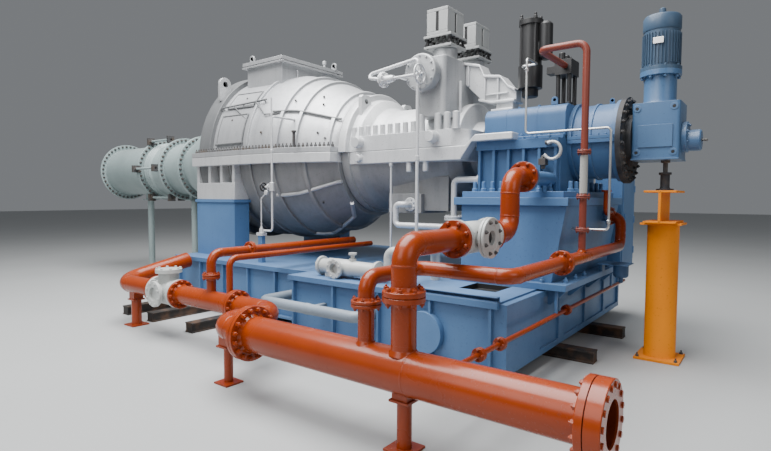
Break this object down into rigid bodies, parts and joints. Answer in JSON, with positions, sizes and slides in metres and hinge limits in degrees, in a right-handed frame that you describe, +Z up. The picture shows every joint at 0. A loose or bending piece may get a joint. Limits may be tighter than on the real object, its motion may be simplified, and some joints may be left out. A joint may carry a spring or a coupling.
{
  "type": "steam turbine",
  "caption": "Condensing steam turbine on a skid, with ribbed exhaust hood, flanged exhaust duct, steam chest, bearing pedestal, turning gear, screw-jack stand and flanged oil piping.",
  "frame": {"origin": "on the floor under the shaft, at the middle of the underside of the fourth sleeper from the exhaust end", "axes": "+X along the shaft from the exhaust duct towards the turning gear, +Y across the machine away from the oil header, +Z up"},
  "size_m": [11.3995, 5.948, 3.91],
  "materials": {
    "silver": "aluminium-silver heat-resistant paint on cast and welded steel, satin",
    "blue": "steel-blue machine enamel, semi-gloss",
    "orange": "orange-red primer enamel, glossy",
    "brown": "brown-red oxide paint, satin",
    "ivory": "ivory-white paint on cast valve bodies",
    "black": "black enamel, semi-gloss",
    "yellow": "yellow-orange enamel, satin",
    "dark_steel": "bare dark steel, worn"
  },
  "bodies": {
    "turbine": {"exhaust_hood_upper": "silver", "exhaust_hood_lower": "silver", "relief_box": "silver", "exhaust_cone": "silver", "exhaust_spool": "silver", "exhaust_bellows": "silver", "exhaust_duct_end": "silver", "casing_upper": "silver", "casing_lower": "silver", "steam_chest": "silver", "valve_spring_housing_1": "silver", "valve_spring_housing_2": "silver", "lever_frame": "silver", "steam_pipe": "silver", "gland_steam_pipe": "silver", "instrument_tube": "silver", "hood_drain_pipe": "silver", "skid_hood_frame": "blue", "skid_steam_frame": "blue", "pedestal": "blue", "bearing_housing": "blue", "bearing_cover": "blue", "rear_cabinet": "blue", "coupling_housing": "blue", "gear_case": "blue", "gear_motor": "blue", "oil_header": "orange", "oil_header_back": "orange", "oil_header_tail": "orange", "large_riser": "orange", "riser_bend": "orange", "ring_pipe": "orange", "brown_riser": "brown", "header_valve": "ivory", "riser_valve": "ivory", "white_line": "ivory", "drain_valve": "ivory", "actuator": "black", "adapter_ring": "black", "control_valves": "black", "yellow_stand": "yellow", "sleeper_1": "dark_steel", "sleeper_2": "dark_steel", "sleeper_3": "dark_steel", "sleeper_4": "dark_steel", "sleeper_5": "dark_steel", "jack_body": "dark_steel"},
    "handwheel": {"steam_valve_handwheel": "silver"},
    "handle": {"turning_handle": "dark_steel"},
    "jack": {"jack_screw": "dark_steel"}
  },
  "joints": [
    {"name": "steam_valve_handwheel_turn", "type": "hinge", "parent": "turbine", "child": "handwheel", "pos_m": [0.27, -1, 3.04], "axis": [1, 0, 0], "range_deg": [0, 1080]},
    {"name": "turning_handle_turn", "type": "hinge", "parent": "turbine", "child": "handle", "pos_m": [2.93, 0, 2.222], "axis": [1, 0, 0], "continuous": true},
    {"name": "jack_screw_lower", "type": "slide", "parent": "turbine", "child": "jack", "axis": [0, 0, 1], "range_m": [-0.075, 0]}
  ]
}
